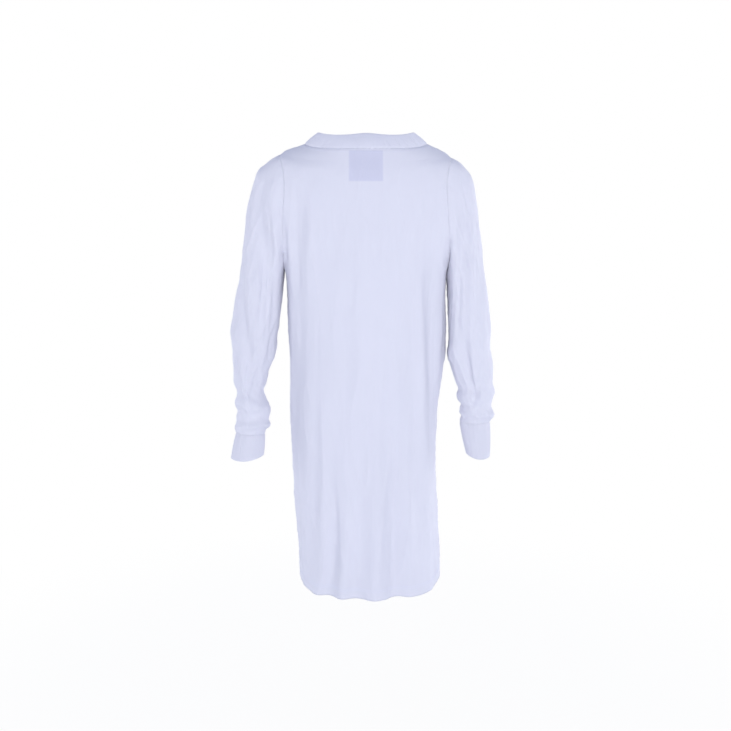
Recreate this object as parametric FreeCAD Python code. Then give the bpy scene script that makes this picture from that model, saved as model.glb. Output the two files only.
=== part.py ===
"""Long-sleeved patient gown of knitted cotton, closed at the back and pulled on over the head.

Millimetres. +Z is up, the wearer's back faces -Y and the wearer's right is +X. The origin is midway
between the two side neck points, where a wearer's shoulders or a hanger carry the gown.
Every cloth piece is a thin closed shell between two lofts, trimmed where the next piece starts.
"""
import FreeCAD
import Part
import os

from FreeCAD import Vector

# Cloth and fits
cloth = 1.2              # jersey, with the air in its loops
rib = 1.8                # ribbed band and cuffs
seam_gap = 0.3           # between two pieces that are sewn together
thread = 0.8             # a row of stitches
allowance = 9.0          # overlocked seam allowance inside
allowance_thick = 1.6

# Body
body_length = 1007.0     # side neck point to hem
shoulder_width = 380.0   # armhole to armhole
chest_width = 360.0
hem_width = 332.0
chest_depth = 226.0
hem_depth = 242.0
shoulder_fall = 27.0     # side neck point down to the shoulder tip
armhole_depth = 238.0    # shoulder tip down to the underarm
hem_turn = 25.0          # hem stitches above the edge

# Neck
neck_width = 278.0
neck_depth = 128.0
back_neck_drop = 20.0
front_neck_drop = 72.0
band_height = 30.0
band_lean = 24.0         # how far the band leans in at each side
tape_width = 10.0
label_width = 75.0
label_height = 70.0

# Sleeve
sleeve_length = 613.0    # shoulder tip down to the cuff
sleeve_splay = 69.0      # cuff centre outside the armhole
upper_sleeve_depth = 140.0
lower_sleeve_width = 80.0
cuff_length = 80.0
cuff_width = 68.0

# Worked out
arm_x = shoulder_width / 2
neck_x = neck_width / 2
tip_z = -shoulder_fall
underarm_z = tip_z - armhole_depth
cuff_top_z = tip_z - sleeve_length
cuff_x = arm_x + sleeve_splay
cuff_radius = cuff_width / 2
back_y = -chest_depth * 0.49
front_y = chest_depth + back_y
neck_back_y = -neck_depth * 0.61
neck_front_y = neck_depth + neck_back_y
far = 1000.0 + body_length


def section(z, x_low, x_high, y_low, y_high):
    """An oval wire at height z that fills the given box."""
    wire = Part.Wire([Part.makeCircle(1.0)])
    matrix = FreeCAD.Matrix()
    matrix.scale((x_high - x_low) / 2, (y_high - y_low) / 2, 1.0)
    matrix.move(Vector((x_low + x_high) / 2, (y_low + y_high) / 2, z))
    return wire.transformGeometry(matrix)


def loft(rows, inset):
    """A solid through the rows, each drawn in by inset and lowered by it, so a wall keeps its thickness."""
    wires = []
    for z, x_low, x_high, y_low, y_high in rows:
        wires.append(section(z - inset, x_low + inset, x_high - inset, y_low + inset, y_high - inset))
    return Part.makeLoft(wires, True, True)


def between(outer_part, share):
    """A depth pair part of the way from the neck's oval to the chest's."""
    return (neck_back_y + (back_y - neck_back_y) * outer_part,
            neck_front_y + (front_y - neck_front_y) * share)


def body_rows():
    """The body's form from above the band down to below the hem. It bulges past each armhole plane."""
    bulge = 0.19 * shoulder_width
    plan = [
        (2 * band_height, neck_x - 1.6 * band_lean, neck_back_y + 18, neck_front_y - 20),
        (band_height, neck_x - band_lean, neck_back_y + 10, neck_front_y - 10),
        (0.0, neck_x) + between(0.0, 0.0),
        (tip_z * 0.45, neck_x + 0.35 * (arm_x - neck_x)) + between(0.13, 0.06),
        (tip_z, arm_x + 1.0) + between(0.28, 0.15),
        (tip_z - 0.08 * armhole_depth, arm_x + 0.42 * bulge) + between(0.44, 0.24),
        (tip_z - 0.20 * armhole_depth, arm_x + 0.76 * bulge) + between(0.61, 0.4),
        (tip_z - 0.39 * armhole_depth, arm_x + bulge) + between(0.8, 0.6),
        (tip_z - 0.64 * armhole_depth, arm_x + 0.8 * bulge) + between(0.95, 0.83),
        (tip_z - 0.86 * armhole_depth, arm_x + 0.3 * bulge) + between(1.0, 0.95),
        (underarm_z, arm_x - 0.5) + between(1.0, 1.0),
        (underarm_z - 35, chest_width / 2 + 2) + between(1.0, 1.0),
        (underarm_z - 120, chest_width / 2 - 2) + between(1.0, 1.0),
        (underarm_z * 0.4 - body_length * 0.6, hem_width / 2 + 2, -hem_depth * 0.47, hem_depth * 0.49),
        (-body_length, hem_width / 2, -hem_depth / 2, hem_depth / 2),
        (-body_length - 2 * hem_turn, hem_width / 2, -hem_depth / 2, hem_depth / 2),
    ]
    return [(z, -half, half, y_low, y_high) for z, half, y_low, y_high in plan]


def sleeve_rows():
    """The right sleeve's form. Down to the underarm it runs inside the armhole plane, which trims it."""
    cap = 0.19 * shoulder_width
    lean = sleeve_splay - lower_sleeve_width / 2
    half = upper_sleeve_depth / 2
    mid = (back_y + front_y) / 2 - 6
    start = underarm_z - 30
    run = start - (cuff_top_z + 25)
    end_radius = cuff_radius + cloth + seam_gap
    plan = [
        (tip_z - 1.0, -8, 8, 0.2),
        (tip_z - 0.055 * armhole_depth, -28, 0.33 * cap, 0.5),
        (tip_z - 0.21 * armhole_depth, -50, 0.76 * cap, 0.79),
        (tip_z - 0.42 * armhole_depth, -60, 0.93 * cap, 0.96),
        (tip_z - 0.66 * armhole_depth, -68, 1.06 * cap, 1.0),
        (tip_z - 0.86 * armhole_depth, -45, 1.17 * cap, 0.95),
        (underarm_z - 6, -4, 1.22 * cap, 0.86),
        (start, 1.0, 1.28 * cap, 0.84),
        (start - run * 0.25, 3, 1.45 * cap, 0.8),
        (start - run * 0.6, 0.5 * lean, 1.49 * cap, 0.68),
        (start - run * 0.85, 0.85 * lean, lean + lower_sleeve_width, 0.6),
        (cuff_top_z + 25, lean, lean + lower_sleeve_width, 0.56),
    ]
    rows = [(z, arm_x + low, arm_x + high, mid - half * share, mid + half * share)
            for z, low, high, share in plan]
    end_rows = [(cuff_top_z + 8, end_radius + 4), (cuff_top_z + 1, end_radius), (cuff_top_z - 3, end_radius)]
    for z, radius in end_rows:
        rows.append((z, cuff_x - radius, cuff_x + radius, mid - radius, mid + radius))
    return rows


def wall(rows, outside, inside):
    """The shell between two insets of one form."""
    return loft(rows, outside).cut(loft(rows, inside))


def box(low, high):
    """A block between two corners."""
    size = Vector(*high) - Vector(*low)
    return Part.makeBox(size.x, size.y, size.z, Vector(*low))


def under_neckline(rise):
    """Everything below the neckline, raised by rise. It arches over the shoulders and drops to the front."""
    apex_y = (neck_back_y + neck_front_y) / 2
    points = [
        (back_y - 60, -back_neck_drop - 12),
        (neck_back_y - 2, -back_neck_drop),
        (apex_y - 26, -0.25 * back_neck_drop),
        (apex_y, 0.0),
        (apex_y + 24, -0.07 * front_neck_drop),
        (neck_front_y + 4, -0.52 * front_neck_drop),
        (neck_front_y + 28, -front_neck_drop),
        (front_y + 50, -2.0 * front_neck_drop),
    ]
    curve = Part.BSplineCurve()
    curve.interpolate([Vector(-far, y, z + rise) for y, z in points])
    first = curve.StartPoint
    last = curve.EndPoint
    outline = [Vector(-far, last.y, -far), Vector(-far, first.y, -far)]
    edges = [curve.toShape(), Part.makeLine(last, outline[0]),
             Part.makeLine(outline[0], outline[1]), Part.makeLine(outline[1], first)]
    return Part.Face(Part.Wire(edges)).extrude(Vector(2 * far, 0, 0))


def slab(y_low, y_high, z_low, z_high, x_low=-far, x_high=far):
    """A block for trimming, as wide as everything unless told."""
    return box((x_low, y_low, z_low), (x_high, y_high, z_high))


def mirrored(shape):
    """The wearer's left copy of a right-hand piece."""
    return shape.mirror(Vector(0, 0, 0), Vector(1, 0, 0))


def export(shape, name):
    """Write one node, keeping only its solids."""
    solids = shape.Solids
    if not solids:
        raise ValueError("no solid in " + name)
    keep = solids[0] if len(solids) == 1 else Part.makeCompound(solids)
    keep.exportStep("parts/" + name + ".step")


def body_panels():
    """Front and back panel: one shell, trimmed at the neckline, hem and armholes, split at the side seams."""
    inside_arms = slab(-far, far, -body_length, 2 * band_height, -arm_x, arm_x)
    shell = wall(body_rows(), 0.0, cloth).common(inside_arms).common(under_neckline(-seam_gap))
    back = shell.common(slab(-far, -seam_gap / 2, -far, far))
    front = shell.common(slab(seam_gap / 2, far, -far, far))
    export(back, "back_panel")
    export(front, "front_panel")


def neck_pieces():
    """Ribbed band, its seam allowance, the tape and label inside the back neck, and the stitches outside."""
    rows = body_rows()
    above = slab(-far, far, -far, 2 * band_height - 4)
    band = wall(rows, 0.0, rib).common(above).common(under_neckline(band_height)).cut(under_neckline(0.0))
    export(band, "neckband")
    turned = wall(rows, cloth + seam_gap, cloth + seam_gap + allowance_thick).common(above)
    seam = turned.common(under_neckline(-seam_gap)).cut(under_neckline(-seam_gap - 0.45 * allowance))
    export(seam, "neckband_seam")
    back_half = slab(-far, -0.2 * neck_depth, -far, far)
    tape_low = -0.45 * allowance - 2 * seam_gap
    tape = turned.common(under_neckline(tape_low)).cut(under_neckline(tape_low - tape_width))
    export(tape.common(back_half), "neck_tape")
    label_low = -back_neck_drop - seam_gap - label_height
    label_box = box((-label_width / 2, -far, label_low), (label_width / 2, 0, 0))
    label_inset = cloth + 2 * seam_gap + allowance_thick
    label = wall(rows, label_inset, label_inset + 2 * seam_gap).common(label_box)
    export(label.common(under_neckline(-0.45 * allowance)), "neck_label")
    stitches = wall(rows, -seam_gap - thread, -seam_gap).common(above)
    stitches = stitches.common(under_neckline(-0.3 * tape_width)).cut(under_neckline(-0.3 * tape_width - thread))
    stitches = stitches.common(slab(-far, far, -far, far, -arm_x, arm_x))
    export(stitches, "neck_thread")


def body_seams():
    """Overlocked fins inside the shoulder and side seams, and the two rows of hem stitches outside."""
    rows = body_rows()
    fins = wall(rows, cloth + seam_gap, cloth + seam_gap + allowance)
    fins = fins.common(slab(-allowance_thick / 2, allowance_thick / 2, -far, far))
    low_neck = under_neckline(-allowance)
    room = allowance + seam_gap
    shoulder = box((0, -far, underarm_z * 0.5), (arm_x - room, far, 0))
    shoulder = fins.common(shoulder).common(low_neck)
    side = fins.common(box((0, -far, -body_length + seam_gap), (arm_x, far, underarm_z - room)))
    for shape, name in [(shoulder, "shoulder_seam"), (side, "side_seam")]:
        export(shape, "right_" + name)
        export(mirrored(shape), "left_" + name)
    outside = wall(rows, -seam_gap - thread, -seam_gap)
    rows_of_thread = []
    for rise in (hem_turn, hem_turn - 6 * thread):
        low = -body_length + rise
        rows_of_thread.append(outside.common(slab(-far, far, low, low + thread)))
    export(Part.makeCompound(rows_of_thread), "hem_thread")


def armhole_seam():
    """The allowance ring just inside the armhole plane."""
    ring = wall(body_rows(), cloth + seam_gap, cloth + seam_gap + allowance)
    ring = ring.common(slab(-far, far, -far, far, arm_x - allowance_thick - seam_gap, arm_x - seam_gap))
    return ring.common(slab(-far, far, underarm_z - allowance, tip_z + allowance))


def sleeve_pieces():
    """Sleeve, its underarm seam, cuff and cuff seam. The sleeve stays outside the armhole plane."""
    rows = sleeve_rows()
    mid = (back_y + front_y) / 2 - 6
    outside_arm = slab(-far, far, cuff_top_z + seam_gap, tip_z, arm_x + seam_gap, far)
    sleeve = wall(rows, 0.0, cloth).common(outside_arm)
    fin = wall(rows, cloth + seam_gap, cloth + seam_gap + allowance)
    run = box((arm_x + seam_gap, mid - allowance_thick / 2, cuff_top_z + 34),
              (cuff_x - lower_sleeve_width * 0.1, mid + allowance_thick / 2, underarm_z - 25))
    centre = Vector(cuff_x, mid, cuff_top_z - cuff_length)
    down = Part.makeCylinder(cuff_radius, cuff_length, centre)
    cuff = down.cut(Part.makeCylinder(cuff_radius - rib, cuff_length, centre))
    ring_base = Vector(cuff_x, mid, cuff_top_z + seam_gap)
    ring_outer = Part.makeCylinder(cuff_radius - seam_gap, 0.5 * allowance, ring_base)
    ring = ring_outer.cut(Part.makeCylinder(cuff_radius - rib, 0.5 * allowance, ring_base))
    return {"sleeve": sleeve, "sleeve_seam": fin.common(run), "cuff": cuff, "cuff_seam": ring}


def both_sides():
    """Everything that each sleeve has, right first and then mirrored."""
    pieces = sleeve_pieces()
    pieces["armhole_seam"] = armhole_seam()
    for name, shape in pieces.items():
        export(shape, "right_" + name)
        export(mirrored(shape), "left_" + name)


os.makedirs("parts", exist_ok=True)
body_panels()
neck_pieces()
body_seams()
both_sides()
print("shoulder hinge x and z:", arm_x, tip_z, "cuff bore:", cuff_x, cuff_radius - rib)
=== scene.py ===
"""Looks for a long-sleeved knitted patient gown with a closed back.

Metres, +Z up, the wearer's back faces -Y and the wearer's right is +X. The origin is midway between the
side neck points. The cloth is cut as two body panels and two sleeves, joined, laid over a body form by
cloth simulation, and parted again at its seams, so that every seam line meets.
"""

import math

import bmesh
import bpy
import numpy as np
from bpy.props import FloatProperty, FloatVectorProperty, IntProperty, PointerProperty
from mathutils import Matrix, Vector, noise
from mathutils.bvhtree import BVHTree
from mathutils.kdtree import KDTree


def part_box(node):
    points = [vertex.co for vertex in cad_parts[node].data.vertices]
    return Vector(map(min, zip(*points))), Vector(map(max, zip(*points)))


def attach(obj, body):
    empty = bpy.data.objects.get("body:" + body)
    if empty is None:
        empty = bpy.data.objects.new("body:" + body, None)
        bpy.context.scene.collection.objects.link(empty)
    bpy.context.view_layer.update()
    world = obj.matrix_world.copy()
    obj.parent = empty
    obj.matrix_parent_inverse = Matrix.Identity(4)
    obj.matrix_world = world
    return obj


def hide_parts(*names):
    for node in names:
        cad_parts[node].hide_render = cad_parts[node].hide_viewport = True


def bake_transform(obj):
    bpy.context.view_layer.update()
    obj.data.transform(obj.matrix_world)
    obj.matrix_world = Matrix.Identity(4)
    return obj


bl_info = {
    "name": "Patient Gown",
    "version": (1, 0, 0),
    "blender": (4, 5, 0),
    "location": "3D View > Sidebar > Gown",
    "description": "Makes the cloth, ribs, seams and stitches of a knitted patient gown",
    "category": "Add Mesh",
}

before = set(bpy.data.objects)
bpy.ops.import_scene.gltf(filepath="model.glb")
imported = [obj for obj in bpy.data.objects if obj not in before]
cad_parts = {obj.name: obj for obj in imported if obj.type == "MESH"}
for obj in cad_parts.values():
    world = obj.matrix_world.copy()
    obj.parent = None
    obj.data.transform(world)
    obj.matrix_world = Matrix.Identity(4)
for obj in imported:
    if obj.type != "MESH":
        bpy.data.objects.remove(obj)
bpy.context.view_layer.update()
PANEL_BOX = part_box("back_panel")
HEM_Z = PANEL_BOX[0][2]
SIDES = {"right": 1.0, "left": -1.0}

# How the cloth is divided before it is laid on the form
COLUMNS = 64
SHOULDER_ROWS = 8
ARMHOLE_ROWS = 40
SKIRT_ROWS = 84
SLEEVE_RINGS = 78
TIP_Z = -0.027
UNDERARM_Z = -0.265


# ---------------------------------------------------------------- settings

class GownSizes(bpy.types.PropertyGroup):
    """Sizes that a maker would change."""
    cloth: FloatProperty(name="Cloth", description="Thickness of the jersey", default=0.0009, unit="LENGTH")
    rib_pitch: FloatProperty(name="Rib pitch", description="Distance from one rib to the next",
                             default=0.0029, unit="LENGTH")
    rib_depth: FloatProperty(name="Rib depth", description="Height of a rib", default=0.0006, unit="LENGTH")
    band_height: FloatProperty(name="Band", description="Height of the neckband", default=0.037,
                               unit="LENGTH")
    tape: FloatProperty(name="Tape", description="Width of the neck tape", default=0.010, unit="LENGTH")
    hem_turn: FloatProperty(name="Hem", description="Depth of the turned hem", default=0.025, unit="LENGTH")
    stitch: FloatProperty(name="Stitch", description="Length of one stitch", default=0.0032, unit="LENGTH")
    thread: FloatProperty(name="Thread", description="Thickness of the sewing thread",
                          default=0.00045, unit="LENGTH")
    frames: IntProperty(name="Frames", description="Frames of cloth simulation", default=26, min=1)
    travel: FloatProperty(name="Travel", description="The most that cloth may move in the simulation",
                          default=0.012, unit="LENGTH")


class GownColours(bpy.types.PropertyGroup):
    """Colours of the cloth and the threads."""
    jersey: FloatVectorProperty(name="Jersey", description="Colour of the knitted cloth", subtype="COLOR",
                                default=(0.775, 0.772, 0.838))
    # Painted shade: the colour of the cloth where the label behind it blocks the light that comes through
    # the cloth.
    painted_label_shade: FloatVectorProperty(name="Painted label shade", description="Cloth with painted shade where the label behind it blocks light",
                                       subtype="COLOR", default=(0.678, 0.680, 0.795))
    label: FloatVectorProperty(name="Label", description="Colour of the woven label", subtype="COLOR",
                               default=(0.60, 0.64, 0.80))
    tape: FloatVectorProperty(name="Tape", description="Colour of the neck tape", subtype="COLOR",
                              default=(0.78, 0.80, 0.93))
    thread: FloatVectorProperty(name="Thread", description="Colour of the thread", subtype="COLOR",
                                default=(0.80, 0.82, 0.95))


def sizes():
    return bpy.context.scene.gown_sizes


def colours():
    return bpy.context.scene.gown_colours


# ---------------------------------------------------------------- shared mesh work

def through(rows, at):
    """A smooth line through rows of (place, value), read at one place or many."""
    places = np.array([row[0] for row in rows], float)
    values = np.array([row[1] for row in rows], float)
    slopes = np.gradient(values, places)
    at = np.clip(np.asarray(at, float), places[0], places[-1])
    i = np.clip(np.searchsorted(places, at) - 1, 0, len(places) - 2)
    span = places[i + 1] - places[i]
    t = (at - places[i]) / span
    return ((1 + 2 * t) * (1 - t) ** 2 * values[i] + t * (1 - t) ** 2 * span * slopes[i]
            + t * t * (3 - 2 * t) * values[i + 1] + t * t * (t - 1) * span * slopes[i + 1])


def smooth_step(low, high, x):
    """0 below low, 1 above high, and an eased run between them."""
    t = np.clip((np.asarray(x, float) - low) / (high - low), 0.0, 1.0)
    return t * t * (3 - 2 * t)


def new_object(name, bm, material=None):
    """Turns a bmesh into an object whose place is in its mesh."""
    mesh = bpy.data.meshes.new(name)
    bm.to_mesh(mesh)
    bm.free()
    piece = bpy.data.objects.new(name, mesh)
    bpy.context.scene.collection.objects.link(piece)
    if material is not None:
        mesh.materials.append(material)
    mesh.polygons.foreach_set("use_smooth", [True] * len(mesh.polygons))
    return piece


def grid_of(points):
    """A bmesh grid with UVs, from an array [across, along] of vertex places."""
    across, along = points.shape[0] - 1, points.shape[1] - 1
    bm = bmesh.new()
    bm.loops.layers.uv.new("UVMap")
    bmesh.ops.create_grid(bm, x_segments=across, y_segments=along, size=0.5, calc_uvs=True)
    for vert in bm.verts:
        vert.co = points[round((vert.co.x + 0.5) * across), round((vert.co.y + 0.5) * along)]
    return bm


def positions(mesh):
    """The vertices of a mesh as an array."""
    flat = np.empty(len(mesh.vertices) * 3)
    mesh.vertices.foreach_get("co", flat)
    return flat.reshape(-1, 3)


def apply_modifiers(piece):
    """Replaces a piece's mesh with what its modifiers make."""
    depsgraph = bpy.context.evaluated_depsgraph_get()
    made = bpy.data.meshes.new_from_object(piece.evaluated_get(depsgraph), depsgraph=depsgraph)
    old = piece.data
    piece.modifiers.clear()
    piece.data = made
    bpy.data.meshes.remove(old)
    made.name = piece.name


def wall(piece, thickness, offset=-1.0):
    """Gives a sheet its thickness."""
    solidify = piece.modifiers.new("Thickness", "SOLIDIFY")
    solidify.thickness = thickness
    solidify.offset = offset
    solidify.use_even_offset = False
    apply_modifiers(piece)


def outward(bm):
    """Turns every face of a closed shape outwards."""
    bmesh.ops.remove_doubles(bm, verts=bm.verts, dist=1e-6)
    bmesh.ops.recalc_face_normals(bm, faces=bm.faces)


# ---------------------------------------------------------------- the form of the body

# Height, half width on the wearer's right, half width on the left, back and front
BODY_FORM = [
    (0.000, 0.136, 0.134, -0.080, 0.052),
    (-0.012, 0.163, 0.161, -0.084, 0.056),
    (-0.027, 0.190, 0.190, -0.088, 0.061),
    (-0.045, 0.220, 0.226, -0.093, 0.067),
    (-0.075, 0.246, 0.252, -0.098, 0.077),
    (-0.120, 0.262, 0.264, -0.104, 0.090),
    (-0.180, 0.250, 0.250, -0.109, 0.104),
    (-0.230, 0.215, 0.215, -0.110, 0.111),
    (-0.265, 0.189, 0.188, -0.110, 0.114),
    (-0.310, 0.186, 0.183, -0.109, 0.115),
    (-0.400, 0.188, 0.182, -0.107, 0.115),
    (-0.484, 0.187, 0.181, -0.106, 0.115),
    (-0.582, 0.177, 0.182, -0.107, 0.116),
    (-0.712, 0.174, 0.180, -0.110, 0.117),
    (-0.815, 0.176, 0.176, -0.113, 0.118),
    (-0.914, 0.181, 0.171, -0.116, 0.119),
    (-1.007, 0.186, 0.166, -0.118, 0.120),
]


def body_form(z, right):
    """Half width on one side, back and front of the body at height z."""
    column = 1 if right else 2
    lines = [[(-row[0], row[k]) for row in BODY_FORM] for k in (column, 3, 4)]
    return [through(line, -z) for line in lines]


# Where the armhole seam runs on the body, by height
ARMHOLE_LINE = [(0.027, 0.190), (0.036, 0.187), (0.050, 0.181), (0.075, 0.176), (0.105, 0.176),
                (0.170, 0.180), (0.220, 0.184), (0.265, 0.1885)]


def row_heights():
    """The height of each row at the side, close together where the panels turn over the shoulder."""
    rows = [TIP_Z * j / SHOULDER_ROWS for j in range(SHOULDER_ROWS)]
    for j in range(ARMHOLE_ROWS):
        t = j / ARMHOLE_ROWS
        ease = 0.5 * t + 0.25 * (1 - math.cos(math.pi * t))
        rows.append(TIP_Z + (UNDERARM_Z - TIP_Z) * ease)
    rows += [UNDERARM_Z + (HEM_Z - UNDERARM_Z) * j / SKIRT_ROWS for j in range(SKIRT_ROWS + 1)]
    return np.array(rows)


def neckline_drop(c, front):
    """How far the neckline lies under the side neck points, for column place c from -1 to 1."""
    depth = 0.072 if front else 0.014
    power = 1.5 if front else 1.6
    return -depth * (1 - abs(c) ** (2 * power)) ** power


def panel_points(front):
    """Every vertex place of one body panel, as an array [column, row]."""
    rows = row_heights()
    points = np.zeros((COLUMNS + 1, len(rows), 3))
    for i in range(COLUMNS + 1):
        c = 2 * i / COLUMNS - 1
        z = rows + neckline_drop(c, front) * (1 - smooth_step(0, 0.30, -rows))
        half, back, chest = body_form(rows, c >= 0)
        middle = (back + chest) / 2
        depth = (chest - back) / 2
        edge = np.arcsin(np.clip(through(ARMHOLE_LINE, -rows) / half, 0, 1))
        open_rows = (rows < TIP_Z - 1e-6) & (rows > UNDERARM_Z + 1e-6)
        turn = c * np.where(open_rows, edge, math.pi / 2)
        points[i, :, 0] = half * np.sin(turn)
        points[i, :, 1] = middle + (1 if front else -1) * depth * np.cos(turn)
        points[i, :, 2] = z
    return points


# ---------------------------------------------------------------- the sleeves

# Place along, outer edge x and z, inner edge x and z, half depth
SLEEVE_FORM = {
    "right": [
        (0.00, 0.190, -0.027, 0.190, -0.265, 0.068),
        (0.03, 0.206, -0.032, 0.189, -0.275, 0.068),
        (0.06, 0.218, -0.041, 0.188, -0.285, 0.069),
        (0.12, 0.234, -0.067, 0.187, -0.305, 0.069),
        (0.20, 0.244, -0.117, 0.185, -0.330, 0.068),
        (0.30, 0.256, -0.185, 0.184, -0.365, 0.066),
        (0.40, 0.268, -0.245, 0.184, -0.400, 0.063),
        (0.50, 0.278, -0.310, 0.184, -0.430, 0.060),
        (0.60, 0.284, -0.385, 0.186, -0.462, 0.056),
        (0.70, 0.287, -0.460, 0.194, -0.495, 0.052),
        (0.80, 0.291, -0.530, 0.208, -0.535, 0.047),
        (0.90, 0.296, -0.590, 0.216, -0.590, 0.041),
        (0.97, 0.297, -0.612, 0.217, -0.614, 0.038),
        (1.00, 0.285, -0.628, 0.219, -0.628, 0.032),
    ],
    "left": [
        (0.00, 0.190, -0.027, 0.190, -0.265, 0.068),
        (0.03, 0.204, -0.033, 0.188, -0.271, 0.069),
        (0.06, 0.216, -0.041, 0.187, -0.277, 0.070),
        (0.12, 0.238, -0.064, 0.186, -0.292, 0.070),
        (0.20, 0.248, -0.096, 0.187, -0.312, 0.069),
        (0.30, 0.265, -0.158, 0.190, -0.340, 0.067),
        (0.40, 0.277, -0.228, 0.194, -0.372, 0.064),
        (0.50, 0.290, -0.297, 0.201, -0.418, 0.061),
        (0.60, 0.303, -0.360, 0.208, -0.470, 0.057),
        (0.70, 0.307, -0.430, 0.220, -0.512, 0.052),
        (0.80, 0.304, -0.505, 0.229, -0.550, 0.047),
        (0.90, 0.300, -0.585, 0.225, -0.600, 0.042),
        (0.97, 0.301, -0.634, 0.225, -0.640, 0.038),
        (1.00, 0.299, -0.653, 0.232, -0.656, 0.032),
    ],
}
SLEEVE_MIDDLE_Y = -0.004


def sleeve_ring(side, v, angles):
    """Points of one ring of a sleeve. Angle 0 is the outer edge and half a turn is the underarm."""
    rows = SLEEVE_FORM[side]
    outer_x, outer_z, inner_x, inner_z, depth = [
        through([(row[0], row[k]) for row in rows], v) for k in range(1, 6)]
    centre = np.array([(outer_x + inner_x) / 2, SLEEVE_MIDDLE_Y, (outer_z + inner_z) / 2])
    reach = np.array([(outer_x - inner_x) / 2, 0, (outer_z - inner_z) / 2])
    ring = centre + np.outer(np.cos(angles), reach)
    ring[:, 1] -= depth * np.sin(angles)
    ring[:, 0] *= SIDES[side]
    return ring


def armhole_loop(back, front, side):
    """The armhole's points from the shoulder tip down the back and up the front."""
    column = COLUMNS if side == "right" else 0
    first = SHOULDER_ROWS
    last = SHOULDER_ROWS + ARMHOLE_ROWS
    down = back[column, first:last + 1]
    up = front[column, first + 1:last][::-1]
    return np.vstack([down, up])


def sleeve_points(side, loop):
    """Every vertex place of one sleeve, as an array [around, ring]."""
    count = len(loop)
    height = (loop[:, 2] - UNDERARM_Z) / (TIP_Z - UNDERARM_Z)
    start = np.arccos(np.clip(2 * height - 1, -1, 1))
    start[count // 2 + 1:] = 2 * math.pi - start[count // 2 + 1:]
    even = np.arange(count) * 2 * math.pi / count
    points = np.zeros((count, SLEEVE_RINGS + 1, 3))
    mouth = loop - sleeve_ring(side, 0.0, start)
    for j in range(SLEEVE_RINGS + 1):
        v = j / SLEEVE_RINGS
        share = smooth_step(0.0, 0.6, v)
        ring = sleeve_ring(side, v, start * (1 - share) + even * share)
        points[:, j] = ring + mouth * (1 - smooth_step(0.0, 0.25, v))
    return points


# ---------------------------------------------------------------- folds and creases

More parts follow.
